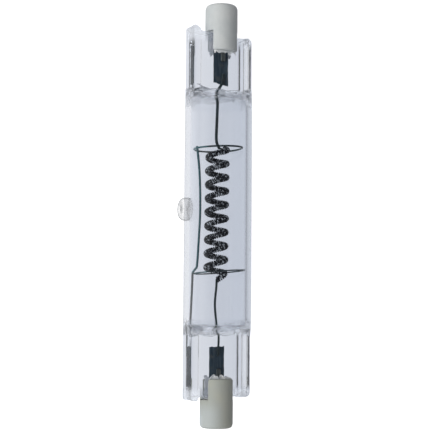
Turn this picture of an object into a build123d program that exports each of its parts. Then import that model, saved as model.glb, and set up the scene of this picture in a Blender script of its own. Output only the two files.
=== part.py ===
from build123d import *
import os
from math import asin, cos, radians, sin

# A double-ended halogen projection lamp. Every piece is drawn upright, with the lamp's axis
# along Z, its middle at the origin and the front face of the pinch seals towards -Y. At the
# end the lamp is laid on its back, so that its axis runs along Y and the front looks up.

# Whole lamp
lamp_length = 78.3          # over both ceramic caps

# Quartz tube
tube_diameter = 12.48
tube_wall = 1.0
shoulder_length = 2.4       # from the round tube to the pressed faces
shoulder_bulge = 0.15       # how far the shoulders swell out, as a share of their size
jaw_opening = 0.3           # the jaws stand this far clear of the round tube
cavity_taper = 2.0          # how far past the round tube the gas space reaches
cavity_end_thickness = 0.8

# Exhaust tip, melted off on the tube's left side
tip_height = 0.45
tip_turn = 0.0              # degrees from the left side towards the front
tip_base_diameter = 4.3
tip_neck_diameter = 2.5
tip_protrusion = 1.36       # how far the tip stands out of the round tube
tip_dome_height = 0.4

# Pinch seals, pressed with a thick rib along each side
upper_seal_length = 18.25   # from the lamp's end back to the round tube
lower_seal_length = 19.05
pinch_width = 11.44
pinch_thickness = 5.0
web_thickness = 3.2
rib_top_width = 1.3
rib_slope_width = 0.55
rib_rounding = 0.6
upper_left_rib_setback = 4.85   # how far a rib stops short of the lamp's end
upper_right_rib_setback = 6.45
lower_left_rib_setback = 4.85
lower_right_rib_setback = 6.35
rib_end_drop = 0.7          # how much lower a rib ends at its outer edge
rib_end_rounding = 0.5

# Ceramic caps
cap_diameter = 6.04
cap_prong_length = 3.9
cap_solid_length = 5.15
cap_rim_bevel = 0.35
cap_prong_bevel = 0.25
slot_clearance = 0.15       # cement on each side of the web
recess_diameter = 3.2
recess_depth = 1.7
upper_cap_offset = 0.45     # the upper cap was cemented on a little to the right
lower_cap_offset = 0.0
cement_bead = 0.3           # how far cement stands out past the prongs

# Contacts
contact_diameter = 2.4
contact_clearance = 0.05
contact_setback = 0.3       # from the recess down to the contact's face
contact_thickness = 0.8
contact_bevel = 0.2
contact_stem_diameter = 1.5
contact_stem_length = 1.3
contact_stem_clearance = 0.15

# Sealing foils
foil_width = 2.95
foil_length = 7.4
foil_thickness = 0.05
upper_foil_distance = 3.4   # from the round tube to the foil
lower_foil_distance = 4.3

# Leads
outer_lead_diameter = 0.9
outer_lead_overlap = 3.2    # length of the outer lead that is welded to the foil
outer_lead_bend_radius = 2.0
upper_lead_diameter = 0.55
lower_lead_diameter = 0.42
inner_lead_overlap = 1.7
upper_lead_kink = 0.7       # how far left the lead jogs where it comes out of the glass
upper_lead_lean = 0.4       # how far left it stands where it bends towards the filament
upper_lead_bend = 1.9       # height of that bend over the filament
lower_lead_lean = 0.45

# Coiled-coil filament, drawn as the outer form of its fine inner coil
filament_pitch = 2.54
filament_outer_diameter = 4.5
fine_coil_diameter = 1.25
filament_turns = 9.06
filament_top = 12.0
filament_start_turn = 20.0   # degrees of the upper end, from the right side towards the back
filament_offset = -0.2
filament_tail_reach = 0.3    # where the lower tail ends, in front of the axis
filament_tail_drop = 1.25
filament_side_count = 8
filament_step_count = 150    # straight steps that the coil and its tail are drawn in
lead_insertion = 0.3

# Support rings and the wire that carries them
ring_wire_diameter = 0.34
upper_ring_clearance = 0.62  # from the wall of the tube
lower_ring_clearance = 0.42
upper_ring_height = 12.1
lower_ring_height = -10.8
upper_ring_tilt = 2.6        # degrees by which the right side is higher
lower_ring_tilt = 4.0
lower_ring_offset = 0.35
lower_ring_turn = -25.0      # direction of that offset, from the right side
support_wire_diameter = 0.4
support_foot_depth = 6.1     # how deep the wire's foot is pressed in, past the round tube
support_foot_inset = 0.87    # from the side of the pinch
support_wall_distance = 0.44 # from the wall of the tube to the wire's middle, at the tube's end
support_step = 0.5           # how far the wire steps in as it passes the lower ring
support_bow = 0.88           # how far it bows towards the filament between the rings
support_depth = 0.9          # of its lower stretch, behind the lamp's axis
support_top_length = 4.6     # from its last bend up to the upper ring
support_foot_radius = 8.0    # of its bends, from the foot up
support_step_radius = 1.5
support_bow_radius = 20.0
support_top_radius = 12.0
wire_side_count = 6

half_length = lamp_length / 2
tip_reach = tube_diameter / 2 + tip_protrusion
tube_radius = tube_diameter / 2
cavity_radius = tube_radius - tube_wall
upper_tube_end = half_length - upper_seal_length
lower_tube_end = half_length - lower_seal_length
upper_foil_start = upper_tube_end + upper_foil_distance
lower_foil_start = lower_tube_end + lower_foil_distance
cap_length = cap_prong_length + cap_solid_length
slot_width = web_thickness + 2 * slot_clearance
slot_root = half_length - cap_solid_length
prong_end = half_length - cap_length
recess_floor = half_length - recess_depth
contact_seat = recess_floor - contact_setback - contact_thickness
rib_top = pinch_width / 2 - rib_top_width
rib_foot = rib_top - rib_slope_width
filament_radius = (filament_outer_diameter - fine_coil_diameter) / 2
upper_ring_radius = cavity_radius - upper_ring_clearance - ring_wire_diameter / 2
lower_ring_radius = cavity_radius - lower_ring_clearance - ring_wire_diameter / 2


def column(section, bottom, top):
    """A section in the XY plane, raised from one height to another."""
    return extrude(Pos(0, 0, bottom) * section, amount=top - bottom)


def rod(radius, bottom, top):
    return column(Circle(radius), bottom, top)


def wire(points, radii, diameter):
    """A round wire along straight runs joined by tangent arcs."""
    path = FilletPolyline(*points, radius=radii)
    start = Plane(origin=path @ 0, z_dir=path % 0)
    return sweep(start * RegularPolygon(diameter / 2, wire_side_count), path=path)


def turned_over(piece):
    """Pieces of the lower end are drawn as upper ones and turned over."""
    return mirror(piece, about=Plane.XY)


def squeezed(radius, half_width, half_thickness, height):
    """A round bar squeezed flat at both ends by a pair of jaws, its stretches of this height."""
    wide = radius + jaw_opening
    slope = wide - half_thickness
    swell_out = half_thickness + slope / 2 + shoulder_bulge * height
    swell_up = height / 2 + shoulder_bulge * slope
    top = upper_tube_end + height
    bottom = -lower_tube_end - height
    low_swell = (swell_out, -lower_tube_end - swell_up)
    high_swell = (swell_out, upper_tube_end + swell_up)
    right = (
        Line((0, bottom), (half_thickness, bottom))
        + ThreePointArc((half_thickness, bottom), low_swell, (wide, -lower_tube_end))
        + Line((wide, -lower_tube_end), (wide, upper_tube_end))
        + ThreePointArc((wide, upper_tube_end), high_swell, (half_thickness, top))
        + Line((half_thickness, top), (0, top))
    )
    jaws = extrude(Plane.YZ * make_face(right + mirror(right, about=Plane.YZ)), amount=wide, both=True)
    narrowing = jaw_opening * height / (radius - half_width)
    sides = [
        (half_width, bottom),
        (wide, -lower_tube_end + narrowing),
        (wide, upper_tube_end - narrowing),
        (half_width, top),
    ]
    front = Polyline(*sides, *[(-x, z) for x, z in reversed(sides)], close=True)
    flanks = extrude(Plane.XZ * make_face(front), amount=wide, both=True)
    return rod(radius, bottom, top) & jaws & flanks


def pinch_section():
    """The H section: a web with a rib along each side."""
    quarter = [
        (rib_foot, web_thickness / 2),
        (rib_top, pinch_thickness / 2),
        (pinch_width / 2, pinch_thickness / 2),
    ]
    right = quarter + [(x, -y) for x, y in reversed(quarter)]
    left = [(-x, -y) for x, y in right]
    outline = make_face(Polyline(*right, *left, close=True))
    corners = [v for v in outline.vertices() if abs(v.X) > rib_top + rib_slope_width / 2]
    return fillet(corners, rib_rounding)


def pinch(tube_end, left_setback, right_setback):
    """A pinch seal, its two ribs cut off at their own heights."""
    edge = pinch_width / 2
    left_end = half_length - left_setback
    right_end = half_length - right_setback
    outline = make_face(
        Polyline(
            (-edge, tube_end),
            (-edge, left_end - rib_end_drop),
            (-rib_top, left_end),
            (-rib_foot, left_end - rib_end_drop),
            (rib_foot, right_end),
            (rib_top, right_end),
            (edge, right_end - rib_end_drop),
            (edge, tube_end),
            close=True,
        )
    )
    tops = [v for v in outline.vertices() if v.Y > tube_end + 1]
    outline = fillet(tops, rib_end_rounding)
    cutter = extrude(Plane.XZ * outline, amount=pinch_thickness, both=True)
    return column(pinch_section(), tube_end, left_end) & cutter


def exhaust_tip():
    """The mound of glass where the exhaust tube was melted off."""
    base = tip_base_diameter / 2
    neck = tip_neck_diameter / 2
    root = cavity_radius + tube_wall / 4
    dome = tip_reach - tip_dome_height
    dome_radius = (neck**2 + tip_dome_height**2) / (2 * tip_dome_height)
    halfway = asin(neck / dome_radius) / 2
    crown = (dome_radius * sin(halfway), tip_reach - dome_radius * (1 - cos(halfway)))
    profile = (
        Line((0, root), (base, root))
        + ThreePointArc((base, root), ((base + 2 * neck) / 3, (root + dome) / 2), (neck, dome))
        + ThreePointArc((neck, dome), crown, (0, tip_reach))
        + Line((0, tip_reach), (0, root))
    )
    tip = revolve(make_face(profile), axis=Axis.Y)
    return Pos(0, 0, tip_height) * Rot(0, 0, 90 + tip_turn) * tip


def ceramic_cap(offset):
    cap = rod(cap_diameter / 2, prong_end, half_length)
    cap = chamfer(cap.edges().group_by(Axis.Z)[-1], cap_rim_bevel)
    cap = chamfer(cap.edges().group_by(Axis.Z)[0], cap_prong_bevel)
    cap -= column(Rectangle(2 * cap_diameter, slot_width), prong_end - 1, slot_root)
    cap -= rod(recess_diameter / 2, recess_floor, half_length + 1)
    cap -= rod(contact_diameter / 2 + contact_clearance, contact_seat, half_length)
    cap -= rod(contact_stem_diameter / 2 + contact_stem_clearance, slot_root - 1, half_length)
    return Pos(offset, 0, 0) * cap


def contact(offset):
    disc = rod(contact_diameter / 2, contact_seat, contact_seat + contact_thickness)
    disc = chamfer(disc.edges().group_by(Axis.Z)[-1], contact_bevel)
    disc += rod(contact_stem_diameter / 2, contact_seat - contact_stem_length, contact_seat)
    return Pos(offset, 0, 0) * disc


def foil(offset, start):
    return Pos(offset, 0, 0) * column(Rectangle(foil_width, foil_thickness), start, start + foil_length)


def outer_lead(offset, foil_start):
    """Welded to the foil's front, then led back to the cap's axis and into the contact."""
    front = -(foil_thickness / 2 + 0.45 * outer_lead_diameter)
    lead = wire(
        [
            (offset, front, foil_start + foil_length - outer_lead_overlap),
            (offset, front, slot_root - 1),
            (offset, 0, slot_root + 0.4),
            (offset, 0, contact_seat - contact_stem_length),
        ],
        outer_lead_bend_radius,
        outer_lead_diameter,
    )
    return lead - foil(offset, foil_start)


def cap_cement(offset, glass, lead):
    """What fills the slot between the prongs, round the glass and the lead."""
    bead_end = prong_end - cement_bead
    filling = column(Rectangle(cap_diameter, slot_width), bead_end, slot_root)
    filling &= rod(cap_diameter / 2 - cap_prong_bevel, bead_end, slot_root)
    return Pos(offset, 0, 0) * filling - glass - lead


def filament():
    """A right-handed helix with a short tail that curls in to the axis at its lower end."""
    height = filament_pitch * filament_turns
    helix = Helix(filament_pitch, height, filament_radius)
    helix = Rot(0, 0, filament_start_turn - 360 * filament_turns) * helix
    helix = Pos(filament_offset, 0, filament_top - height) * helix
    tail_end = (filament_offset, -filament_tail_reach, filament_top - height - filament_tail_drop)
    tail = TangentArc(helix @ 0, tail_end, tangent=-(helix % 0))
    path = Wire([tail.edge(), helix.edge()])
    steps = Polyline(*[path @ (step / filament_step_count) for step in range(filament_step_count + 1)])
    start = Plane(origin=steps @ 0, z_dir=steps % 0)
    section = RegularPolygon(fine_coil_diameter / 2, filament_side_count)
    coil = sweep(start * section, path=steps, transition=Transition.RIGHT)
    return coil, helix @ 1, helix % 1, Vector(*tail_end)


def ring(radius, height, tilt):
    """A wire ring round the filament, of this radius to the middle of its wire."""
    section = Pos(radius, 0) * RegularPolygon(ring_wire_diameter / 2, wire_side_count)
    hoop = revolve(Plane.XZ * section, axis=Axis.Z)
    return Pos(0, 0, height) * Rot(0, -tilt, 0) * hoop


# Everything that the glass is pressed round
filament_coil, coil_mouth, coil_direction, coil_tail = filament()
upper_foil = foil(upper_cap_offset, upper_foil_start)
lower_foil = turned_over(foil(lower_cap_offset, lower_foil_start))
upper_outer_lead = outer_lead(upper_cap_offset, upper_foil_start)
lower_outer_lead = turned_over(outer_lead(lower_cap_offset, lower_foil_start))

upper_lead_front = -(foil_thickness / 2 + 0.45 * upper_lead_diameter)
upper_inner_lead = wire(
    [
        (upper_cap_offset + 0.1, upper_lead_front, upper_foil_start + inner_lead_overlap),
        (upper_cap_offset - 0.15, upper_lead_front, upper_foil_start),
        (-upper_lead_kink, -0.2, upper_tube_end + 1.4),
        (upper_lead_kink - 0.9, 0, upper_tube_end),
        (-upper_lead_lean, 0, filament_top + upper_lead_bend),
        tuple(coil_mouth + coil_direction),
        tuple(coil_mouth - coil_direction * lead_insertion),
    ],
    [1.5, 0.7, 1.2, 1.0, 0.4],
    upper_lead_diameter,
)
upper_inner_lead = upper_inner_lead - filament_coil - upper_foil

lower_lead_front = -(foil_thickness / 2 + 0.45 * lower_lead_diameter)
lower_inner_lead = wire(
    [
        (-0.13, lower_lead_front, -lower_foil_start - inner_lead_overlap),
        (0, lower_lead_front, -lower_foil_start),
        (0.1, 0, -lower_tube_end - 2),
        (-lower_lead_lean, 0, coil_tail.Z - 4.4),
        (-0.35, coil_tail.Y, coil_tail.Z - 1.8),
        (coil_tail.X, coil_tail.Y, coil_tail.Z),
    ],
    [1.2, 1.5, 4.0, 2.0],
    lower_lead_diameter,
)
lower_inner_lead = lower_inner_lead - filament_coil - lower_foil

# The support wire comes up out of the lower pinch, steps in past the lower ring and bows
# towards the filament on its way to the upper ring
turn = radians(lower_ring_turn)
lower_ring_centre = Vector(lower_ring_offset * cos(turn), lower_ring_offset * sin(turn))
lower_ring_side = lower_ring_radius - lower_ring_centre.X
support_wire = wire(
    [
        (-(pinch_width / 2 - support_foot_inset), support_depth, -lower_tube_end - support_foot_depth),
        (-(cavity_radius - support_wall_distance), support_depth + 0.1, -lower_tube_end - 0.9),
        (-lower_ring_side - 0.12, support_depth, lower_ring_height - 1.0),
        (-lower_ring_side - 0.12 + support_step, 0.2, lower_ring_height + 0.9),
        (-(upper_ring_radius - support_bow), -0.32, 0.5),
        (-(upper_ring_radius - 0.6), -0.42, upper_ring_height - support_top_length),
        (-(upper_ring_radius - 0.04), -0.55, upper_ring_height + 0.2),
    ],
    [support_foot_radius, support_step_radius, support_step_radius, support_bow_radius, support_top_radius],
    support_wire_diameter,
)

# Each ring is open where it crosses the support wire, and welded to it at both ends
upper_support_ring = ring(upper_ring_radius, upper_ring_height, upper_ring_tilt) - support_wire
lower_support_ring = ring(lower_ring_radius, lower_ring_height, lower_ring_tilt)
lower_support_ring = Pos(lower_ring_centre) * lower_support_ring - support_wire

# The glass: one tube, flattened and pressed at both ends
solid_glass = squeezed(tube_radius, pinch_width / 2, web_thickness / 2, shoulder_length) + exhaust_tip()
solid_glass += pinch(upper_tube_end, upper_left_rib_setback, upper_right_rib_setback)
solid_glass += turned_over(pinch(lower_tube_end, lower_left_rib_setback, lower_right_rib_setback))
quartz_envelope = solid_glass - squeezed(cavity_radius, rib_top, cavity_end_thickness / 2, cavity_taper)
for pressed_in in (
    upper_foil,
    lower_foil,
    upper_outer_lead,
    lower_outer_lead,
    upper_inner_lead,
    lower_inner_lead,
    support_wire,
):
    quartz_envelope -= pressed_in

pieces = {
    "quartz_envelope": quartz_envelope,
    "upper_ceramic_cap": ceramic_cap(upper_cap_offset),
    "lower_ceramic_cap": turned_over(ceramic_cap(lower_cap_offset)),
    "upper_cap_cement": cap_cement(upper_cap_offset, solid_glass, upper_outer_lead),
    "lower_cap_cement": turned_over(
        cap_cement(lower_cap_offset, turned_over(solid_glass), turned_over(lower_outer_lead))
    ),
    "upper_contact": contact(upper_cap_offset),
    "lower_contact": turned_over(contact(lower_cap_offset)),
    "upper_foil": upper_foil,
    "lower_foil": lower_foil,
    "upper_outer_lead": upper_outer_lead,
    "lower_outer_lead": lower_outer_lead,
    "upper_inner_lead": upper_inner_lead,
    "lower_inner_lead": lower_inner_lead,
    "filament_coil": filament_coil,
    "upper_support_ring": upper_support_ring,
    "lower_support_ring": lower_support_ring,
    "support_wire": support_wire,
}

# Laid on its back: the axis along Y, the front face up
os.makedirs("parts", exist_ok=True)
for name, piece in pieces.items():
    export_step(Rot(-90, 0, 0) * piece, f"parts/{name}.step")
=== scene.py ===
from math import cos, pi, radians, sin, sqrt, tau

import bpy
import numpy as np
from mathutils import Matrix, Vector, noise


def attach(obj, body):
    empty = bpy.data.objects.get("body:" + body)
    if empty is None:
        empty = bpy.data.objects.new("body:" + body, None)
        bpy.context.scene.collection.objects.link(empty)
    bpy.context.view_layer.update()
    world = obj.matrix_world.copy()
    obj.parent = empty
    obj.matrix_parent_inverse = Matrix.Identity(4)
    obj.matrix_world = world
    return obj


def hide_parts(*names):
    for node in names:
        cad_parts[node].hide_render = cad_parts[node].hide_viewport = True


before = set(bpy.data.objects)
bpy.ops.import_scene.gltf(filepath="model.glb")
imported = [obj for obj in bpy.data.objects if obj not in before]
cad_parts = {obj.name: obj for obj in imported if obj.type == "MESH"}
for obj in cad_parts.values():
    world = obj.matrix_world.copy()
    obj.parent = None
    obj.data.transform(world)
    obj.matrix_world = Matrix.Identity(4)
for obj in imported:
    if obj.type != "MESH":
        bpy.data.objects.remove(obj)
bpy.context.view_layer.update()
MM = 0.001

# Quartz envelope: one tube of clear fused quartz, heated and pressed flat by a pair of jaws
# at both ends. The jaws leave a thin web there, with a thick rib along each side, and the
# glass is cut and melted over at the ends. The gas space ends inside the creases.
tube_radius = 6.24
tube_wall = 1.0
cavity_radius = tube_radius - tube_wall
upper_tube_end = 20.9
lower_tube_end = 20.8
columns = 240               # points round the tube
half_columns = columns // 2
pinch_half_width = 5.98
pinch_half_thickness = 2.56
web_half_thickness = 1.6
rib_top = 4.8               # where a rib's flat top starts, from the lamp's axis
rib_foot = 4.35
end_rounding = 0.22         # of the melted edges at the pinch's end
left_flank_rounding = 1.1   # of the pinch's long outer edges
right_flank_rounding = 1.25
shoulder_roundness = 1.7    # 1 is a straight slope, 2 a quarter of an ellipse
pressed_rows = 26           # rings along a pinch
pinch_waviness = 0.002
cavity_gap = 0.75           # from the cavity's shoulder to the crease
cavity_setback = 0.4        # the gas space leaves the round this much before the tube does
cavity_end_depth = 0.5
cavity_end_rounding = 0.39
slit_half_thickness = 0.4


def rounded(corners, radii):
    """A polyline whose inner corners are rounded, each by its own radius."""
    line = [np.array(corners[0], float)]
    for before, corner, after, radius in zip(corners, corners[1:], corners[2:], radii):
        corner = np.array(corner, float)
        back = np.array(before, float) - corner
        on = np.array(after, float) - corner
        back /= np.linalg.norm(back)
        on /= np.linalg.norm(on)
        reach = radius / np.tan(np.arccos(np.clip(back @ on, -1, 1)) / 2)
        start, end = corner + back * reach, corner + on * reach
        for t in np.linspace(0, 1, 9):
            line.append((1 - t) ** 2 * start + 2 * t * (1 - t) * corner + t**2 * end)
    line.append(np.array(corners[-1], float))
    return np.array(line)


def spread(line, count):
    """The same line with its points at equal distances."""
    along = np.concatenate([[0], np.cumsum(np.linalg.norm(np.diff(line, axis=0), axis=1))])
    stations = np.linspace(0, along[-1], count)
    return np.column_stack([np.interp(stations, along, axis) for axis in line.T])


def curve_through(x, knots):
    """A smooth height over x through a few knots (x, height)."""
    xs = np.array([k[0] for k in knots], float)
    ys = np.array([k[1] for k in knots], float)
    slopes = np.gradient(ys, xs)
    x = np.clip(x, xs[0], xs[-1])
    i = np.clip(np.searchsorted(xs, x) - 1, 0, len(xs) - 2)
    width = xs[i + 1] - xs[i]
    t = (x - xs[i]) / width
    rise = (2 * t**3 - 3 * t**2 + 1) * ys[i] + (3 * t**2 - 2 * t**3) * ys[i + 1]
    return rise + ((t**3 - 2 * t**2 + t) * slopes[i] + (t**3 - t**2) * slopes[i + 1]) * width


def all_round(half):
    """A front half outline from right to left, joined to its mirrored back half."""
    return np.vstack([half, (half[1:-1] * [1, -1])[::-1]])


def circle_section(radius):
    angles = np.linspace(0, pi, half_columns + 1)
    return all_round(radius * np.column_stack([np.cos(angles), np.sin(angles)]))


def pinch_section():
    corners = [
        (pinch_half_width, 0),
        (pinch_half_width - 0.03, pinch_half_thickness),
        (rib_top, pinch_half_thickness),
        (rib_foot, web_half_thickness),
        (0, web_half_thickness),
    ]
    right = rounded(corners, [right_flank_rounding, 0.25, 0.35])
    left = rounded(corners, [left_flank_rounding, 0.25, 0.35])
    half = np.vstack([right, (left[:-1] * [-1, 1])[::-1]])
    return all_round(spread(half, half_columns + 1))


def slit_section(half_width, half_thickness):
    return all_round(circle_section(1)[: half_columns + 1] * [half_width, half_thickness])


def row(section, heights):
    """One ring of points: the section's x and z, and a height for each point."""
    return np.column_stack([section[:, 0], heights * np.ones(len(section)), section[:, 1]])


def squeezed_end(circle, flat, tube_end, crease, end_line, rounding, rows_along, waves):
    """Rings from the tube's end out to the end of a pinch, with y counted outwards."""
    rows = []
    for step in range(1, 25):
        u = sin(pi / 2 * step / 24)
        squeeze = 1 - (1 - u**shoulder_roundness) ** (1 / shoulder_roundness)
        narrow = u * u * (3 - 2 * u)
        section = np.column_stack(
            [
                circle[:, 0] + (flat[:, 0] - circle[:, 0]) * narrow,
                circle[:, 1] + (flat[:, 1] - circle[:, 1]) * squeeze,
            ]
        )
        rows.append(row(section, tube_end + u * (crease - tube_end)))
    last = end_line - np.minimum(rounding, np.abs(flat[:, 1]))
    for step in range(1, rows_along + 1):
        share = step / rows_along
        height = crease + (last - crease) * share
        wavy = flat * (1 + waves * sin(pi * share) * np.sin(height * 1.9 + 2 * np.sin(height))[:, None])
        rows.append(row(wavy, height))
    return rows


def join_skin(points, faces, rows, outward):
    """Adds closed rings and a bulging end over the first and the last of them."""
    first = len(points)
    points.extend(p for ring in rows for p in ring)
    for k in range(len(rows) - 1):
        for j in range(columns):
            low, high = first + k * columns, first + (k + 1) * columns
            quad = (low + j, high + j, high + (j + 1) % columns, low + (j + 1) % columns)
            faces.append(quad if outward else quad[::-1])
    for k, facing in ((0, -1), (len(rows) - 1, 1)):
        close_end(points, faces, first + k * columns, rows[k], facing, outward)


def close_end(points, faces, first, ring, facing, outward):
    """The end of a skin: strips from its front edge to its back edge, rounded over."""
    strips = 16
    lines = []
    for i in range(half_columns + 1):
        front = first + i
        back = first + (columns - i) % columns
        thick = ring[i][2]
        if thick < 1e-6:
            lines.append([front] * (strips + 1))
            continue
        lip = min(end_rounding, thick)
        line = [front]
        for k in range(1, strips):
            z = thick * cos(pi * k / strips)
            s = max(0.0, (abs(z) - (thick - lip)) / lip)
            line.append(len(points))
            points.append((ring[i][0], ring[i][1] + facing * lip * sqrt(1 - min(s, 1) ** 2), z))
        lines.append(line + [back])
    for here, there in zip(lines, lines[1:]):
        for k in range(strips):
            corners = [here[k], there[k], there[k + 1], here[k + 1]]
            corners = list(dict.fromkeys(corners))
            if len(corners) > 2:
                faces.append(corners[::-1] if (facing > 0) == outward else corners)


def new_piece(name, points, faces, finish, sharp=None):
    """A mesh from points in millimetres, smooth but for edges over this angle."""
    mesh = bpy.data.meshes.new(name)
    mesh.from_pydata([tuple(c * MM for c in p) for p in points], [], faces)
    mesh.update()
    piece = bpy.data.objects.new(name, mesh)
    bpy.context.scene.collection.objects.link(piece)
    smooth(piece, sharp)
    piece.data.materials.append(finish)
    return piece


def smooth(piece, sharp=None):
    mesh = piece.data
    mesh.shade_smooth()
    if sharp is not None:
        mesh.set_sharp_from_angle(angle=radians(sharp))


class Signal:
    """What comes out of a node, ready for Python's own operators."""

    def __init__(self, finish, socket):
        self.finish = finish
        self.socket = socket

    def math(self, operation, *others):
        return self.finish.node("ShaderNodeMath", {"operation": operation}, dict(enumerate((self, *others))))

    def __add__(self, other):
        return self.math("ADD", other)

    def __mul__(self, other):
        return self.math("MULTIPLY", other)

    def __sub__(self, other):
        return self.math("SUBTRACT", other)

    def __rsub__(self, other):
        return self.finish.node("ShaderNodeMath", {"operation": "SUBTRACT"}, {0: other, 1: self})

    __radd__ = __add__
    __rmul__ = __mul__

    def clamped(self):
        return self.finish.node("ShaderNodeClamp", {}, {0: self})

    def between(self, low, high):
        """0 below low, 1 above high, smooth in between."""
        settings = {"interpolation_type": "SMOOTHSTEP"}
        return self.finish.node("ShaderNodeMapRange", settings, {0: self, 1: low, 2: high})


class Finish:
    """A material, or the world, as a node tree that is filled by calls."""

    def __init__(self, owner):
        owner.use_nodes = True
        self.owner = owner
        self.tree = owner.node_tree
        self.tree.nodes.clear()

    def node(self, kind, settings, inputs, output=0):
        made = self.tree.nodes.new(kind)
        for name, value in settings.items():
            setattr(made, name, value)
        for name, value in inputs.items():
            socket = made.inputs[name]
            if isinstance(value, Signal):
                self.tree.links.new(value.socket, socket)
            elif isinstance(value, tuple) and len(value) == 3 and len(socket.default_value) == 4:
                socket.default_value = (*value, 1)
            else:
                socket.default_value = value
        return Signal(self, made.outputs[output])

    def mix(self, factor, first, second, blend="MIX"):
        settings = {"data_type": "RGBA", "blend_type": blend}
        return self.node("ShaderNodeMix", settings, {0: factor, 6: first, 7: second}, 2)

    def place(self):
        return self.node("ShaderNodeTexCoord", {}, {}, "Object")

    def axis(self, vector, letter):
        return self.node("ShaderNodeSeparateXYZ", {}, {0: vector}, letter)

    def noise(self, vector, size, detail=3.0, stretch=(1, 1, 1)):
        """Noise with grains of about this size in metres, 0 to 1."""
        scaled = self.node("ShaderNodeVectorMath", {"operation": "MULTIPLY"}, {0: vector, 1: stretch})
        return self.node("ShaderNodeTexNoise", {}, {"Vector": scaled, "Scale": 1 / size, "Detail": detail})

    def bump(self, height, strength, depth):
        return self.node("ShaderNodeBump", {}, {"Height": height, "Strength": strength, "Distance": depth})

    def surface(self, shader):
        out = self.tree.nodes.new("ShaderNodeOutputMaterial")
        self.tree.links.new(shader.socket, out.inputs["Surface"])
        return self.owner


def new_finish(name):
    return Finish(bpy.data.materials.new(name))


# Clear quartz has a faint blue grey tint in its thickness. The jaws leave fine ripples and a
# trace of haze on the pinches. Lamps shine through it on to what is inside.
clear = new_finish("clear_fused_quartz")
spot = clear.place()
pressed = clear.axis(spot, "Y").math("ABSOLUTE").between(0.0215, 0.0235)
ripple = clear.noise(spot, 0.0011, 2.0, (1.0, 0.45, 1.0))
tint = clear.mix(ripple * pressed * 0.5, (0.90, 0.915, 0.945), (0.87, 0.885, 0.935))
haze = clear.noise(spot, 0.0023).between(0.45, 0.8) * pressed * 0.02
quartz = clear.node(
    "ShaderNodeBsdfPrincipled",
    {},
    {
        "Base Color": tint,
        "Roughness": haze,
        "IOR": 1.458,
        "Transmission Weight": 1.0,
        "Normal": clear.bump(ripple * pressed, 0.1, 0.0001),
    },
)
along = clear.axis(spot, "Y").math("ABSOLUTE")
shoulders = along.between(0.0192, 0.0205) * (1 - along.between(0.0219, 0.0226))
melted_ends = along.between(0.0312, 0.0328)
softened = shoulders * 0.35 + melted_ends * 0.5
lamp_light = clear.node("ShaderNodeLightPath", {}, {}, "Is Shadow Ray")
let_through = clear.node("ShaderNodeBsdfTransparent", {}, {"Color": (0.88, 0.895, 0.92)})
passing = lamp_light.math("MAXIMUM", softened)
clear_quartz = clear.surface(clear.node("ShaderNodeMixShader", {}, {0: passing, 1: quartz, 2: let_through}))

tube = circle_section(tube_radius)
cavity = circle_section(cavity_radius)
flat = pinch_section()
slit = slit_section(rib_top, slit_half_thickness)
upper_end_knots = [
    (-6.08, 34.3), (-5.9, 34.5), (-5.6, 34.45), (-5.2, 34.2), (-4.8, 33.95), (-4.1, 33.75), (-2.6, 33.6),
    (0, 33.2), (2.6, 33.0), (3.6, 33.0), (4.6, 32.95), (5.2, 32.8), (5.8, 32.3), (6.08, 31.8),
]
lower_end_knots = [
    (-6.08, 33.3), (-5.9, 33.7), (-5.4, 34.05), (-4.9, 34.1), (-4.4, 33.75), (-4.0, 33.5), (-2.6, 33.45),
    (0, 33.3), (2.6, 33.4), (3.6, 33.5), (4.6, 33.5), (5.2, 33.35), (5.8, 32.9), (6.08, 32.3),
]
upper_crease_knots = [
    (-6.08, 23.4), (-4.0, 23.15), (-2.6, 22.75), (-1.2, 22.9),
    (0.2, 22.6), (2, 22.75), (4, 22.9), (6.08, 23.3),
]
lower_crease_knots = [
    (-6.08, 22.5), (-3.7, 21.8), (-1.6, 22.35), (-0.6, 21.9),
    (1, 22.2), (3, 21.8), (4.5, 21.5), (6.08, 22.3),
]

upper_out = squeezed_end(
    tube, flat, upper_tube_end, curve_through(flat[:, 0], upper_crease_knots),
    curve_through(flat[:, 0], upper_end_knots), end_rounding, pressed_rows, pinch_waviness,
)
lower_out = squeezed_end(
    tube, flat, lower_tube_end, curve_through(flat[:, 0], lower_crease_knots),
    curve_through(flat[:, 0], lower_end_knots), end_rounding, pressed_rows, pinch_waviness,
)
turned = [ring * [1, -1, 1] for ring in reversed(lower_out)]
tube_rows = [row(tube, y) for y in np.linspace(-lower_tube_end, upper_tube_end, 40)]
outer_rows = turned + tube_rows + upper_out

upper_gas_end = curve_through(slit[:, 0], upper_crease_knots) - cavity_gap
upper_in = squeezed_end(
    cavity, slit, upper_tube_end - cavity_setback, upper_gas_end,
    upper_gas_end + cavity_end_depth, cavity_end_rounding, 2, 0.0,
)
lower_gas_end = curve_through(slit[:, 0], lower_crease_knots) - cavity_gap
lower_in = squeezed_end(
    cavity, slit, lower_tube_end - cavity_setback, lower_gas_end,
    lower_gas_end + cavity_end_depth, cavity_end_rounding, 2, 0.0,
)
turned_in = [ring * [1, -1, 1] for ring in reversed(lower_in)]
gas_from, gas_to = -lower_tube_end + cavity_setback, upper_tube_end - cavity_setback
cavity_rows = [row(cavity, y) for y in np.linspace(gas_from, gas_to, 36)]

points, faces = [], []
join_skin(points, faces, outer_rows, True)
join_skin(points, faces, turned_in + cavity_rows + upper_in, False)
envelope = new_piece("quartz_tube_with_pinches", points, faces, clear_quartz)
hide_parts("quartz_envelope")
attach(envelope, "root")

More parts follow.
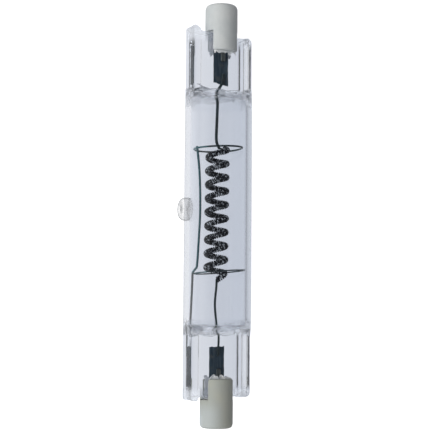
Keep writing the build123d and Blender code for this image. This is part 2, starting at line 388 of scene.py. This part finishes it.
# Ceramic caps: turned and fired steatite, unglazed, with a melted-looking rounded rim. A slot
# leaves two prongs that straddle the pinch's web. A bore holds the contact below the rim.
half_length = 39.15
cap_radius = 3.02
rim_rounding = 1.0
recess_radius = 1.6
recess_depth = 1.7
seat_radius = 1.25
seat_depth = 2.8
prong_end = 30.25
slot_root = 34.0
slot_half_width = 1.75
cap_places = {"upper": (0.45, 1), "lower": (0.0, -1)}

fired = new_finish("fired_steatite")
spot = fired.place()
cloud = fired.noise(spot, 0.0032, 4.0)
grain = fired.noise(spot, 0.00022, 3.0)
drag = fired.noise(spot, 0.0006, 3.0, (1.0, 0.12, 1.0))
body = fired.mix(cloud.between(0.35, 0.68), (0.64, 0.675, 0.67), (0.73, 0.755, 0.74))
body = fired.mix(drag.between(0.5, 0.8) * 0.3, body, (0.57, 0.61, 0.6))
body = fired.mix(grain.between(0.62, 0.75) * 0.3, body, (0.5, 0.52, 0.5))
lower = fired.axis(spot, "Y").between(0.02, -0.02) * (0.8 + cloud.between(0.3, 0.7) * 0.2)
body = fired.mix(lower, body, fired.mix(1.0, body, (0.7, 0.69, 0.61), "MULTIPLY"))
# Painted light: a paler, bluer patch at the outer end of the lower cap on its left side, where the lamp's
# light falls.
painted_lit_patch = fired.axis(spot, "Y").between(-0.034, -0.0365) * (0 - fired.axis(spot, "X")).between(-0.0004, 0.0024)
body = fired.mix(painted_lit_patch * (0.5 + cloud.between(0.4, 0.6) * 0.5), body, (0.58, 0.63, 0.64))
steatite = fired.surface(
    fired.node(
        "ShaderNodeBsdfPrincipled",
        {},
        {
            "Base Color": body,
            "Roughness": 0.5 + grain * 0.35,
            "Specular IOR Level": 0.35,
            "Normal": fired.bump(grain * 0.6 + drag * 0.4, 0.35, 0.00005),
        },
    )
)


def turned_part(outline, segments=96):
    """Points and faces of a closed outline (radius, height) spun round the Y axis."""
    points, faces = [], []
    count = len(outline)
    for k in range(segments):
        angle = tau * k / segments
        points.extend((r * cos(angle), y, r * sin(angle)) for r, y in outline)
    for k in range(segments):
        here, there = k * count, (k + 1) % segments * count
        for j in range(count):
            nxt = (j + 1) % count
            faces.append((here + j, here + nxt, there + nxt, there + j))
    return points, faces


def apply_all(piece):
    """Bakes the piece's modifiers into its mesh."""
    graph = bpy.context.evaluated_depsgraph_get()
    done = bpy.data.meshes.new_from_object(piece.evaluated_get(graph))
    piece.modifiers.clear()
    piece.data = done


def block(name, low, high):
    """A scratch block that cuts a slot."""
    corners = [(x, y, z) for x in (low[0], high[0]) for y in (low[1], high[1]) for z in (low[2], high[2])]
    sides = [(0, 1, 3, 2), (4, 6, 7, 5), (0, 4, 5, 1), (2, 3, 7, 6), (0, 2, 6, 4), (1, 5, 7, 3)]
    return new_piece(name, corners, sides, steatite)


def cut_away(piece, cutter):
    tool = piece.modifiers.new("slot", "BOOLEAN")
    tool.operation = "DIFFERENCE"
    tool.solver = "EXACT"
    tool.object = cutter
    apply_all(piece)
    bpy.data.objects.remove(cutter)


def soften_edges(piece, width, segments=3):
    edge = piece.modifiers.new("worn edges", "BEVEL")
    edge.width = width * MM
    edge.segments = segments
    edge.limit_method = "ANGLE"
    edge.angle_limit = radians(35)
    edge.use_clamp_overlap = True
    apply_all(piece)


cap_outline = rounded(
    [
        (seat_radius, half_length - seat_depth),
        (seat_radius, half_length - recess_depth),
        (recess_radius, half_length - recess_depth),
        (recess_radius, half_length),
        (cap_radius, half_length),
        (cap_radius, prong_end),
        (0.9, prong_end),
        (0.9, half_length - seat_depth),
        (seat_radius, half_length - seat_depth),
    ],
    [0.05, 0.1, 0.2, rim_rounding, 0.3, 0.1, 0.05],
)[:-1]
for end, (offset, facing) in cap_places.items():
    points, faces = turned_part([tuple(p) for p in cap_outline])
    cap = new_piece(f"{end}_cap", points, [f[::-1] for f in faces], steatite)
    cut_away(cap, block("slot_cutter", (-4, 28, -slot_half_width), (4, slot_root, slot_half_width)))
    if facing < 0:
        cap.data.transform(Matrix.Rotation(pi, 4, "Z"))
    cap.data.transform(Matrix.Translation((offset * MM, 0, 0)))
    cap.data.update()
    soften_edges(cap, 0.09)
    smooth(cap, 50)
    cap.name = f"{end}_steatite_cap"
    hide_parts(f"{end}_ceramic_cap")
    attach(cap, "root")

# Cap cement: a white refractory paste pushed into the slot round the web. It fills the gap
# between prong and glass and stands out past the prongs in rough crumbs.
putty = new_finish("refractory_cement")
spot = putty.place()
crumb = putty.noise(spot, 0.00045, 4.0)
patch = putty.noise(spot, 0.0014, 2.0)
chalk = putty.mix(patch.between(0.38, 0.56), (0.78, 0.81, 0.84), (0.97, 0.97, 0.97))
chalk = putty.mix(crumb.between(0.6, 0.72) * 0.5, chalk, (0.42, 0.46, 0.49))
cement = putty.surface(
    putty.node(
        "ShaderNodeBsdfPrincipled",
        {},
        {
            "Base Color": chalk,
            "Roughness": 0.75 + crumb * 0.2,
            "Specular IOR Level": 0.3,
            "Normal": putty.bump(crumb, 0.8, 0.00012),
        },
    )
)
cement_gap = 0.03           # from the glass, so that the two faces stay apart
bead_reach = 0.45           # how far the cement stands out past the prongs


def roughened(piece, size, depth, seed):
    """Moves each point along its normal by noise, with grains of this size in millimetres."""
    mesh = piece.data
    shifts = []
    for vertex in mesh.vertices:
        grain_place = vertex.co / (size * MM) + Vector((seed, 0, 0))
        shifts.append(vertex.normal * (noise.noise(grain_place) * depth * MM))
    for vertex, shift in zip(mesh.vertices, shifts):
        vertex.co += shift
    mesh.update()


def cement_pad(facing_front, seed):
    """One pad between a prong and the web: a thin slab under the prong's own round outline."""
    across, along = 44, 52
    near = web_half_thickness + cement_gap
    far = slot_half_width - 0.02
    low, high = prong_end - bead_reach, slot_root - 0.05
    reach = sqrt((cap_radius - 0.22) ** 2 - slot_half_width**2)
    points, faces = [], []
    for layer in (near, far):
        for j in range(along + 1):
            v = j / along
            for i in range(across + 1):
                u = 2 * i / across - 1
                ragged = 0.22 * noise.noise(Vector((u * 4 + seed, v * 9, 0.3)))
                edge = 0.7 * noise.noise(Vector((u * 4.1, seed, 0.0))) * max(0, 1 - v * 6)
                x = u * (reach + ragged)
                y = low + (high - low) * v + edge
                bulge = 0.2 * max(0, 1 - v * 12) if layer == far else 0
                points.append((x, y, facing_front * (layer + bulge)))
    size = (across + 1) * (along + 1)

    def at(layer, j, i):
        return layer * size + j * (across + 1) + i

    for j in range(along):
        for i in range(across):
            faces.append((at(0, j, i), at(0, j + 1, i), at(0, j + 1, i + 1), at(0, j, i + 1)))
            faces.append((at(1, j, i), at(1, j, i + 1), at(1, j + 1, i + 1), at(1, j + 1, i)))
    for j in range(along):
        faces.append((at(0, j, 0), at(1, j, 0), at(1, j + 1, 0), at(0, j + 1, 0)))
        faces.append((at(0, j, across), at(0, j + 1, across), at(1, j + 1, across), at(1, j, across)))
    for i in range(across):
        faces.append((at(0, 0, i), at(0, 0, i + 1), at(1, 0, i + 1), at(1, 0, i)))
        faces.append((at(0, along, i), at(1, along, i), at(1, along, i + 1), at(0, along, i + 1)))
    if facing_front < 0:
        faces = [f[::-1] for f in faces]
    return points, faces


def merge(lists):
    """Joins several (points, faces) into one."""
    points, faces = [], []
    for more_points, more_faces in lists:
        base = len(points)
        points.extend(more_points)
        faces.extend(tuple(base + i for i in face) for face in more_faces)
    return points, faces


def plug(seed, top, bottom):
    """The cement over the end of the web, inside the slot."""
    points, faces = [], []
    rings, around = 14, 40
    for k in range(rings + 1):
        polar = pi * k / rings
        for j in range(around):
            angle = tau * j / around
            wobble = 1 + 0.1 * noise.noise(Vector((cos(angle) * 2 + seed, sin(angle) * 2, polar)))
            x = 2.35 * sin(polar) ** 0.5 * cos(angle) * wobble
            z = (slot_half_width - 0.05) * sin(polar) ** 0.4 * sin(angle)
            y = (top + bottom) / 2 + (top - bottom) / 2 * cos(polar)
            points.append((x, y, z))
    for k in range(rings):
        for j in range(around):
            nxt = (j + 1) % around
            faces.append((k * around + j, k * around + nxt, (k + 1) * around + nxt, (k + 1) * around + j))
    return points, faces


for seed, (end, (offset, facing)) in enumerate(cap_places.items()):
    web_end = 33.75 if end == "upper" else 33.65
    parts = [cement_pad(1, 3.7 + seed), cement_pad(-1, 8.1 + seed)]
    parts.append(plug(seed, slot_root - 0.02, web_end + 0.02))
    points, faces = merge(parts)
    points = [(offset + facing * x, facing * y, z) for x, y, z in points]
    filling = new_piece(f"{end}_cement_filling", points, faces, cement)
    roughened(filling, 0.35, 0.05, seed * 5.0)
    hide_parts(f"{end}_cap_cement")
    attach(filling, "root")

# Contacts: stamped nickel discs, slightly domed where the holder's sprung pin rubs them,
# each with a stem that is crimped to the outer lead.
contact_radius = 1.2
contact_face = half_length - 2.0
rubbed = new_finish("rubbed_nickel")
spot = rubbed.place()
scuff = rubbed.noise(spot, 0.0005, 3.0)
brush = rubbed.noise(spot, 0.0002, 2.0, (1.0, 1.0, 0.15))
metal = rubbed.mix(scuff.between(0.45, 0.7), (0.60, 0.58, 0.53), (0.42, 0.40, 0.36))
nickel = rubbed.surface(
    rubbed.node(
        "ShaderNodeBsdfPrincipled",
        {},
        {
            "Base Color": metal,
            "Metallic": 1.0,
            "Roughness": 0.28 + brush * 0.22,
            "Normal": rubbed.bump(brush, 0.3, 0.00003),
        },
    )
)
contact_outline = rounded(
    [
        (0.0005, contact_face + 0.12),
        (0.7, contact_face + 0.1),
        (contact_radius, contact_face),
        (contact_radius, contact_face - 0.8),
        (0.75, contact_face - 0.8),
        (0.75, contact_face - 2.1),
        (0.0005, contact_face - 2.1),
    ],
    [2.0, 0.18, 0.1, 0.08, 0.1],
)
for end, (offset, facing) in cap_places.items():
    points, faces = turned_part([tuple(p) for p in contact_outline], 64)
    if facing > 0:
        faces = [f[::-1] for f in faces]
    points = [(offset + x, facing * y, z) for x, y, z in points]
    disc = new_piece(f"{end}_contact_disc", points, faces, nickel, 40)
    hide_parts(f"{end}_contact")
    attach(disc, "root")

# Sealing foils: molybdenum etched to a few hundredths of a millimetre with thin edges, which
# the quartz wets when it is pressed. They look blue grey and streaked along their length.
foil_half_width = 1.5
foil_half_thickness = 0.02
rolled = new_finish("molybdenum_foil_in_quartz")
spot = rolled.place()
streak = rolled.noise(spot, 0.0004, 3.0, (1.0, 0.07, 1.0))
stain = rolled.noise(spot, 0.0016, 3.0)
sheen = rolled.mix(streak.between(0.38, 0.66), (0.042, 0.072, 0.1), (0.085, 0.125, 0.155))
sheen = rolled.mix(stain.between(0.52, 0.7) * 0.7, sheen, (0.12, 0.135, 0.135))
foil_metal = rolled.surface(
    rolled.node(
        "ShaderNodeBsdfPrincipled",
        {},
        {
            "Base Color": sheen,
            "Metallic": 0.35,
            "Roughness": 0.42 + streak * 0.2,
            "Normal": rolled.bump(streak, 0.35, 0.00004),
        },
    )
)


def foil_strip(offset, inner_left, inner_right, outer, seed):
    """A foil with feathered edges, its inner end torn a little askew."""
    across, along = 24, 80
    points, faces = [], []
    for side in (1, -1):
        for j in range(along + 1):
            v = j / along
            for i in range(across + 1):
                u = 2 * i / across - 1
                inner = inner_left + (inner_right - inner_left) * (u + 1) / 2
                inner += 0.16 * noise.noise(Vector((u * 2.3, seed, 1.0)))
                y = inner + (outer - inner) * v
                edge = 0.05 * noise.noise(Vector((seed, v * 6, np.sign(u) * 2)))
                x = offset + u * (foil_half_width + edge)
                bow = 0.05 * sin(2.1 * v + seed) + 0.03 * sin(9 * v + u)
                thick = foil_half_thickness * sqrt(max(0.0, 1 - u**4)) + 0.004
                points.append((x, y, bow + side * thick))
    size = (across + 1) * (along + 1)
    for j in range(along):
        for i in range(across):
            a = j * (across + 1) + i
            quad = (a, a + 1, a + across + 2, a + across + 1)
            faces.append(quad)
            faces.append(tuple(size + k for k in quad[::-1]))
    rim = [i for i in range(across + 1)]
    rim += [j * (across + 1) + across for j in range(1, along + 1)]
    rim += [along * (across + 1) + i for i in range(across - 1, -1, -1)]
    rim += [j * (across + 1) for j in range(along - 1, 0, -1)]
    for a, b in zip(rim, rim[1:] + rim[:1]):
        faces.append((b, a, size + a, size + b))
    return points, faces


foil_ends = {"upper": (0.12, 24.35, 23.8, 31.7, 1), "lower": (-0.26, 24.5, 24.3, 31.8, -1)}
for seed, (end, (offset, left, right, outer, facing)) in enumerate(foil_ends.items()):
    points, faces = foil_strip(offset, left, right, outer, 2.0 + 3 * seed)
    if facing < 0:
        points = [(x, -y, z) for x, y, z in points]
        faces = [f[::-1] for f in faces]
    strip = new_piece(f"{end}_sealing_foil", points, faces, foil_metal, 60)
    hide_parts(f"{end}_foil")
    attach(strip, "root")

# Outer leads: dull molybdenum rod, laid along the foil's front where it is spot welded, then
# led back to the axis and up into the contact's stem.
dull = new_finish("dull_molybdenum")
spot = dull.place()
drawn = dull.noise(spot, 0.0003, 3.0, (1.0, 0.1, 1.0))
rod_colour = dull.mix(drawn.between(0.4, 0.65), (0.10, 0.115, 0.11), (0.20, 0.21, 0.20))
molybdenum = dull.surface(
    dull.node(
        "ShaderNodeBsdfPrincipled",
        {},
        {
            "Base Color": rod_colour,
            "Metallic": 0.6,
            "Roughness": 0.4 + drawn * 0.25,
            "Normal": dull.bump(drawn, 0.3, 0.00003),
        },
    )
)


def smooth_path(knots, step):
    """Points at about this distance along a smooth curve through the knots."""
    knots = [np.array(k, float) for k in knots]
    knots = [2 * knots[0] - knots[1]] + knots + [2 * knots[-1] - knots[-2]]
    path = []
    for a, b, c, d in zip(knots, knots[1:], knots[2:], knots[3:]):
        times = np.cumsum([0] + [np.linalg.norm(q - p) ** 0.5 + 1e-9 for p, q in ((a, b), (b, c), (c, d))])
        for t in np.linspace(times[1], times[2], max(3, int(np.linalg.norm(c - b) / step)))[:-1]:
            path.append(catmull(a, b, c, d, times, t))
    path.append(knots[-2])
    return np.array(path)


def catmull(a, b, c, d, times, t):
    """A point of the smooth curve between b and c."""
    t0, t1, t2, t3 = times
    ab = a + (b - a) * (t - t0) / (t1 - t0)
    bc = b + (c - b) * (t - t1) / (t2 - t1)
    cd = c + (d - c) * (t - t2) / (t3 - t2)
    abc = ab + (bc - ab) * (t - t0) / (t2 - t0)
    bcd = bc + (cd - bc) * (t - t1) / (t3 - t1)
    return abc + (bcd - abc) * (t - t1) / (t2 - t1)


def swept(path, radius, sides=16, closed=False):
    """Points and faces of a round wire along a path, with domed ends."""
    path = np.array(path, float)
    count = len(path)
    if closed:
        tangents = np.roll(path, -1, axis=0) - np.roll(path, 1, axis=0)
    else:
        tangents = np.gradient(path, axis=0)
    tangents /= np.linalg.norm(tangents, axis=1)[:, None]
    normal = np.cross(tangents[0], (0.31, 0.17, 0.93))
    points, faces = [], []
    for centre, tangent in zip(path, tangents):
        normal = normal - tangent * (normal @ tangent)
        normal /= np.linalg.norm(normal)
        other = np.cross(tangent, normal)
        for k in range(sides):
            angle = tau * k / sides
            points.append(tuple(centre + radius * (cos(angle) * normal + sin(angle) * other)))
    spans = count if closed else count - 1
    for i in range(spans):
        here, there = i * sides, (i + 1) % count * sides
        for k in range(sides):
            nxt = (k + 1) % sides
            faces.append((here + k, here + nxt, there + nxt, there + k))
    if not closed:
        for first, centre, out in ((0, path[0], -tangents[0]), (count - 1, path[-1], tangents[-1])):
            tip = len(points)
            points.append(tuple(centre + out * radius * 0.5))
            for k in range(sides):
                a, b = first * sides + k, first * sides + (k + 1) % sides
                faces.append((b, a, tip) if first == 0 else (a, b, tip))
    return points, faces


lead_radius = 0.45
for end, (offset, facing) in cap_places.items():
    foil_outer = 31.7
    route = [
        (offset, foil_outer - 3.2, 0.42),
        (offset, foil_outer - 1.4, 0.42),
        (offset, 33.0, 0.36),
        (offset, 34.3, 0.05),
        (offset, 35.1, 0.0),
    ]
    points, faces = swept(smooth_path(route, 0.25), lead_radius, 20)
    points = [(x, facing * y, z) for x, y, z in points]
    if facing < 0:
        faces = [f[::-1] for f in faces]
    rod = new_piece(f"{end}_outer_lead_rod", points, faces, molybdenum, 50)
    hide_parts(f"{end}_outer_lead")
    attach(rod, "root")

# Inner leads: tungsten wire, spot welded to the inner end of each foil. The upper one jogs as
# it leaves the glass and hooks into the filament's mouth, the lower one rises into its tail.
black_drawn = new_finish("dark_tungsten_wire")
spot = black_drawn.place()
drawn = black_drawn.noise(spot, 0.00025, 3.0, (1.0, 0.15, 1.0))
film = black_drawn.noise(spot, 0.003, 2.0)
wire_colour = black_drawn.mix(film.between(0.4, 0.65), (0.045, 0.06, 0.062), (0.05, 0.08, 0.085))
far_side = (0 - black_drawn.axis(spot, "X")).between(0.0032, 0.0036)
far_side = far_side * black_drawn.axis(spot, "Y").between(-0.0116, -0.0108)
wire_colour = black_drawn.mix(far_side, wire_colour, (0.05, 0.17, 0.19))
wire_colour = black_drawn.mix(drawn.between(0.55, 0.7) * 0.5, wire_colour, (0.12, 0.15, 0.15))
tungsten = black_drawn.surface(
    black_drawn.node(
        "ShaderNodeBsdfPrincipled",
        {},
        {
            "Base Color": wire_colour,
            "Metallic": 0.55,
            "Roughness": 0.38 + drawn * 0.2,
            "Normal": black_drawn.bump(drawn, 0.25, 0.00002),
        },
    )
)
lead_routes = {
    "upper": (
        0.275,
        [
            (0.55, 26.0, 0.27), (0.32, 24.3, 0.27), (-0.35, 23.1, 0.22), (-0.66, 22.3, 0.2),
            (-0.42, 21.6, 0.1), (-0.24, 20.9, 0.0), (-0.28, 18.5, 0.0), (-0.38, 15.4, 0.0),
            (-0.42, 14.2, 0.0), (-0.1, 13.3, -0.5), (0.6, 12.55, -1.15), (1.0, 12.24, -1.45),
            (1.27, 12.1, -1.0), (1.36, 11.98, -0.3),
        ],
    ),
    "lower": (
        0.21,
        [
            (-0.13, -26.1, 0.21), (0.0, -24.4, 0.21), (0.08, -22.2, 0.05), (-0.05, -20.8, 0.0),
            (-0.28, -18.8, 0.0), (-0.44, -16.8, 0.0), (-0.42, -15.0, 0.2), (-0.33, -13.8, 0.3),
            (-0.25, -12.1, 0.3),
        ],
    ),
}
for end, (radius, route) in lead_routes.items():
    points, faces = swept(smooth_path(route, 0.15), radius, 16)
    lead = new_piece(f"{end}_inner_lead_wire", points, faces, tungsten, 50)
    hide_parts(f"{end}_inner_lead")
    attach(lead, "root")

# Filament: fine tungsten wire wound into a close coil, and that coil wound again into nine
# large right-handed turns. Its lower end runs on as a short tail to the lead.
coil_radius = 1.7
coil_pitch = 2.54
coil_turns = 9.06
coil_top = 12.0
coil_offset = -0.24
coil_lean = 0.05            # each large turn stands a little higher at its right side
coil_slant = 0.01           # the whole coil leans to the right at its top
start_turn = radians(20)
fine_wire_radius = 0.145
fine_coil_radius = 0.6
fine_radius = fine_coil_radius - fine_wire_radius
fine_pitch = 0.4
glowed = new_finish("recrystallised_tungsten")
spot = glowed.place()
grain_and_glint = glowed.noise(spot, 0.0005, 4.0)
zone = glowed.noise(spot, 0.0021, 2.0)
coil_colour = glowed.mix(zone.between(0.4, 0.62), (0.006, 0.009, 0.016), (0.02, 0.025, 0.03))
# Bright specks painted into the colour stand in for glints on the fine turns; the same noise also roughens
# and bumps the wire as real grain.
coil_colour = glowed.mix(grain_and_glint.between(0.54, 0.6), coil_colour, (0.62, 0.66, 0.69))
coil_metal = glowed.surface(
    glowed.node(
        "ShaderNodeBsdfPrincipled",
        {},
        {
            "Base Color": coil_colour,
            "Metallic": 0.2,
            "Specular IOR Level": 0.3,
            "Roughness": 0.36 + grain_and_glint * 0.3,
            "Normal": glowed.bump(grain_and_glint, 0.3, 0.00003),
        },
    )
)


def coil_centre(turn):
    """The middle of the fine coil, counted in large turns from the top."""
    angle = start_turn - tau * turn
    aside, depth = coil_radius * cos(angle), coil_radius * sin(angle)
    height = coil_top - coil_pitch * turn + coil_lean * aside
    return np.array((coil_offset + coil_slant * height + aside, height, -depth))


coil_line = [coil_centre(t) for t in np.linspace(0, coil_turns, int(coil_turns * 60))]
last, heading = coil_line[-1], coil_line[-1] - coil_line[-2]
heading /= np.linalg.norm(heading)
tail_end = np.array((coil_offset, coil_top - coil_pitch * coil_turns - 1.25, 0.3))
for t in np.linspace(0, 1, 18)[1:]:
    corner = last + heading * 1.15
    coil_line.append((1 - t) ** 2 * last + 2 * t * (1 - t) * corner + t**2 * tail_end)
coil_line = spread(np.array(coil_line), 2600)
length = np.linalg.norm(np.diff(coil_line, axis=0), axis=1).sum()
fine_turns = length / fine_pitch
steps_per_turn = 15
stations = spread(coil_line, int(fine_turns * steps_per_turn))
forward = np.gradient(stations, axis=0)
forward /= np.linalg.norm(forward, axis=1)[:, None]
on_axis = np.column_stack([np.full(len(stations), coil_offset), stations[:, 1], np.zeros(len(stations))])
axis_out = stations - on_axis
outward = axis_out - forward * np.sum(axis_out * forward, axis=1)[:, None]
outward /= np.linalg.norm(outward, axis=1)[:, None]
sideways = np.cross(forward, outward)
phase = tau * np.arange(len(stations)) / steps_per_turn
looseness = np.array([1 + 0.05 * noise.noise(Vector((k * 0.11, 0.5, 0))) for k in range(len(stations))])
fine_line = stations + (fine_radius * looseness)[:, None] * (
    np.cos(phase)[:, None] * outward + np.sin(phase)[:, None] * sideways
)
points, faces = swept(fine_line, fine_wire_radius, 6)
coil = new_piece("coiled_coil_filament", points, faces, coil_metal)
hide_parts("filament_coil")
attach(coil, "root")

# Support rings: tungsten wire bent round the filament's two ends, close to the wall, and
# welded to the support wire at the left.
rings = {
    "upper": (4.45, 12.0, 2.6, 0.0, 0.0, 0.17, 0.0),
    "lower": (4.65, -10.8, 4.0, 0.317, 0.148, 0.125, 0.03),
}
for end, (radius, height, tilt, aside, forward_shift, ring_wire_radius, nod) in rings.items():
    hoop = []
    for k in range(160):
        angle = tau * k / 160
        wobble = 1 + 0.006 * sin(3 * angle + radius)
        x = radius * wobble * cos(angle)
        z = radius * wobble * sin(angle)
        y = height + x * sin(radians(tilt)) + nod * z
        hoop.append((aside + x * cos(radians(tilt)), y, forward_shift + z))
    points, faces = swept(hoop, ring_wire_radius, 12, closed=True)
    hoop_piece = new_piece(f"{end}_ring_of_wire", points, faces, tungsten)
    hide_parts(f"{end}_support_ring")
    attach(hoop_piece, "root")

# Support wire: one tungsten wire with its foot pressed into the lower pinch. It steps in past
# the lower ring, bows towards the filament and ends at the upper ring.
side_route = [
    (-4.85, -26.2, -0.9), (-4.83, -23.6, -0.95), (-4.8, -21.0, -1.0), (-4.62, -16.0, -0.95),
    (-4.5, -12.2, -0.9), (-4.48, -11.2, -0.88), (-4.42, -10.8, -0.75), (-4.0, -10.1, -0.2),
    (-3.95, -9.6, -0.1), (-3.78, -6.0, 0.05), (-3.6, 0.5, 0.3), (-3.85, 7.5, 0.42), (-4.36, 12.1, 0.54),
]
side_wire_radius = 0.2
points, faces = swept(smooth_path(side_route, 0.3), side_wire_radius, 14)
side_wire = new_piece("side_support_wire", points, faces, tungsten, 50)
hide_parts("support_wire")
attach(side_wire, "root")

# Exhaust tip: where the lamp was pumped and filled through a thin side tube, which was melted
# off last. A thin blunt mound of the same quartz is left on the tube's left side.
tip_height = 0.5
tip_reach = 7.58
tip_root = 5.9
tip_radius = 2.15
thin_quartz = new_finish("thin_quartz_of_the_tip")
spot = thin_quartz.place()
swirl = thin_quartz.noise(spot, 0.0009, 2.0)
# Painted dark rim: where the tip's surface turns edge-on to the view, its colour goes dark and less
# see-through, standing in for the glass's refraction at its outline.
painted_dark_rim = thin_quartz.node("ShaderNodeLayerWeight", {}, {"Blend": 0.5}, "Facing").between(0.35, 0.95)
skin_colour = thin_quartz.mix(painted_dark_rim, (0.68, 0.69, 0.69), (0.16, 0.17, 0.18))
tip_quartz = thin_quartz.surface(
    thin_quartz.node(
        "ShaderNodeBsdfPrincipled",
        {},
        {
            "Base Color": skin_colour,
            "Roughness": 0.08,
            "IOR": 1.458,
            "Alpha": 0.24 + swirl.between(0.5, 0.7) * 0.16 + painted_dark_rim * 0.55,
            "Normal": thin_quartz.bump(swirl, 0.2, 0.0001),
        },
    )
)
tip_outline = rounded(
    [(0.0005, tip_root), (tip_radius, tip_root), (tip_radius - 0.1, tip_reach - 0.1), (0.0005, tip_reach)],
    [0.1, 0.9],
)
points, faces = turned_part([tuple(p) for p in tip_outline], 96)
points = [(-reach, tip_height + up, z) for up, reach, z in points]
tip = new_piece("melted_off_exhaust_tip", points, faces, tip_quartz)
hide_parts("quartz_envelope")
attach(tip, "root")

# Floor: a sheet of white card under the lamp, which lies on its back on it. The camera sees
# it white, and it keeps the lamp's soft shadow. What the glass mirrors and shows through it
# is near-black card with painted light: brighter at the left, darker and bluer at the right,
# and painted dark further out to both sides.
card = new_finish("white_card")
spot = card.place()
path = card.tree.nodes.new("ShaderNodeLightPath")
seen = Signal(card, path.outputs["Is Camera Ray"])
mirrored = Signal(card, path.outputs["Is Glossy Ray"])
through_glass = Signal(card, path.outputs["Is Transmission Ray"])
shown = (mirrored + through_glass).clamped()
# Painted light seen in the glass: lighter at the left, darker and bluer at the right, fading to painted dark
# between about 1 and 5.5 cm out to both sides.
side = card.axis(spot, "X")
painted_dark_far_off = side.math("ABSOLUTE").between(0.01, 0.055)
painted_light_under_glass = card.mix(side.between(-0.01, 0.014), (0.84, 0.85, 0.875), (0.63, 0.665, 0.725))
painted_light_under_glass = card.mix(painted_dark_far_off, painted_light_under_glass, (0.22, 0.23, 0.26))
glow = card.mix(seen, card.mix(shown, (0.0, 0.0, 0.0), painted_light_under_glass), (0.86, 0.86, 0.86))
fibre = card.noise(spot, 0.002, 3.0)
paper = card.mix(fibre * 0.3, (0.9, 0.9, 0.9), (0.86, 0.86, 0.87))
# For rays from the glass the card's own colour is near black, so that only the painted light shows.
paper = card.mix(shown, paper, (0.05, 0.05, 0.05))
white_card = card.surface(
    card.node(
        "ShaderNodeBsdfPrincipled",
        {},
        {
            "Base Color": paper,
            "Roughness": 0.9,
            "Specular IOR Level": 0.1,
            "Emission Color": glow,
            "Emission Strength": 1.0,
        },
    )
)
half_floor = 600
floor_height = -tube_radius
floor = new_piece(
    "card_floor",
    [(x, y, floor_height) for x, y in ((-1, -1), (1, -1), (1, 1), (-1, 1))],
    [(0, 1, 2, 3)],
    white_card,
)
floor.data.transform(Matrix.Diagonal((half_floor, half_floor, 1, 1)))

# Light: a pale room with a dark ceiling, brighter on the left than on the right, and one large
# soft lamp whose own shape isn't mirrored in the glass.
room = bpy.data.worlds.new("pale_room")
bpy.context.scene.world = room
air = Finish(room)
direction = air.node("ShaderNodeTexCoord", {}, {}, "Generated")
path = air.node("ShaderNodeLightPath", {}, {}, "Is Camera Ray")
leftness = 0 - air.axis(direction, "X")
ceiling = air.axis(direction, "Z").between(0.05, 0.8)
walls = air.mix(leftness.between(-0.9, 0.9), (0.58, 0.59, 0.61), (0.8, 0.8, 0.81))
glow = air.mix(ceiling, walls, (0.1, 0.1, 0.11))
backdrop = air.node(
    "ShaderNodeBackground", {}, {"Color": air.mix(path, glow, (1.0, 1.0, 1.0)), "Strength": 1.0}
)
sky = air.tree.nodes.new("ShaderNodeOutputWorld")
air.tree.links.new(backdrop.socket, sky.inputs["Surface"])


def soft_lamp(name, place, size, power):
    """A square lamp that faces the object."""
    light = bpy.data.lights.new(name, "AREA")
    light.size = size
    light.energy = power
    lamp = bpy.data.objects.new(name, light)
    lamp.location = place
    lamp.rotation_euler = (Vector((0, 0, 0)) - Vector(place)).to_track_quat("-Z", "Y").to_euler()
    lamp.visible_glossy = False
    lamp.visible_transmission = False
    bpy.context.scene.collection.objects.link(lamp)


soft_lamp("key_lamp", (-0.42, -0.05, 0.28), 0.4, 1.6)

# Camera: a short telephoto at the photograph's angle, a little to the left of the lamp's
# front and a little towards its lower end.
turn_left = radians(25)
pitch = 0.09358
roll = 0.00781
camera_distance = 227.396
view_out = Vector((-sin(turn_left) * cos(pitch), -sin(pitch), cos(turn_left) * cos(pitch)))
level_right = Vector((cos(turn_left), 0, sin(turn_left)))
level_up = Vector((-sin(turn_left) * sin(pitch), cos(pitch), cos(turn_left) * sin(pitch)))
right = level_right * cos(roll) + level_up * sin(roll)
up = level_up * cos(roll) - level_right * sin(roll)
lens = bpy.data.cameras.new("telephoto")
lens.sensor_width = 36
lens.lens = 36 * camera_distance / 79.352
lens.shift_x = -0.0064
lens.shift_y = -0.0033
lens.clip_start = 0.01
eye = bpy.data.objects.new("camera", lens)
axes = Matrix((right, up, view_out)).transposed().to_4x4()
eye.matrix_world = Matrix.Translation(view_out * camera_distance * MM) @ axes
bpy.context.scene.collection.objects.link(eye)
bpy.context.scene.camera = eye
bpy.context.scene.view_settings.view_transform = "Standard"
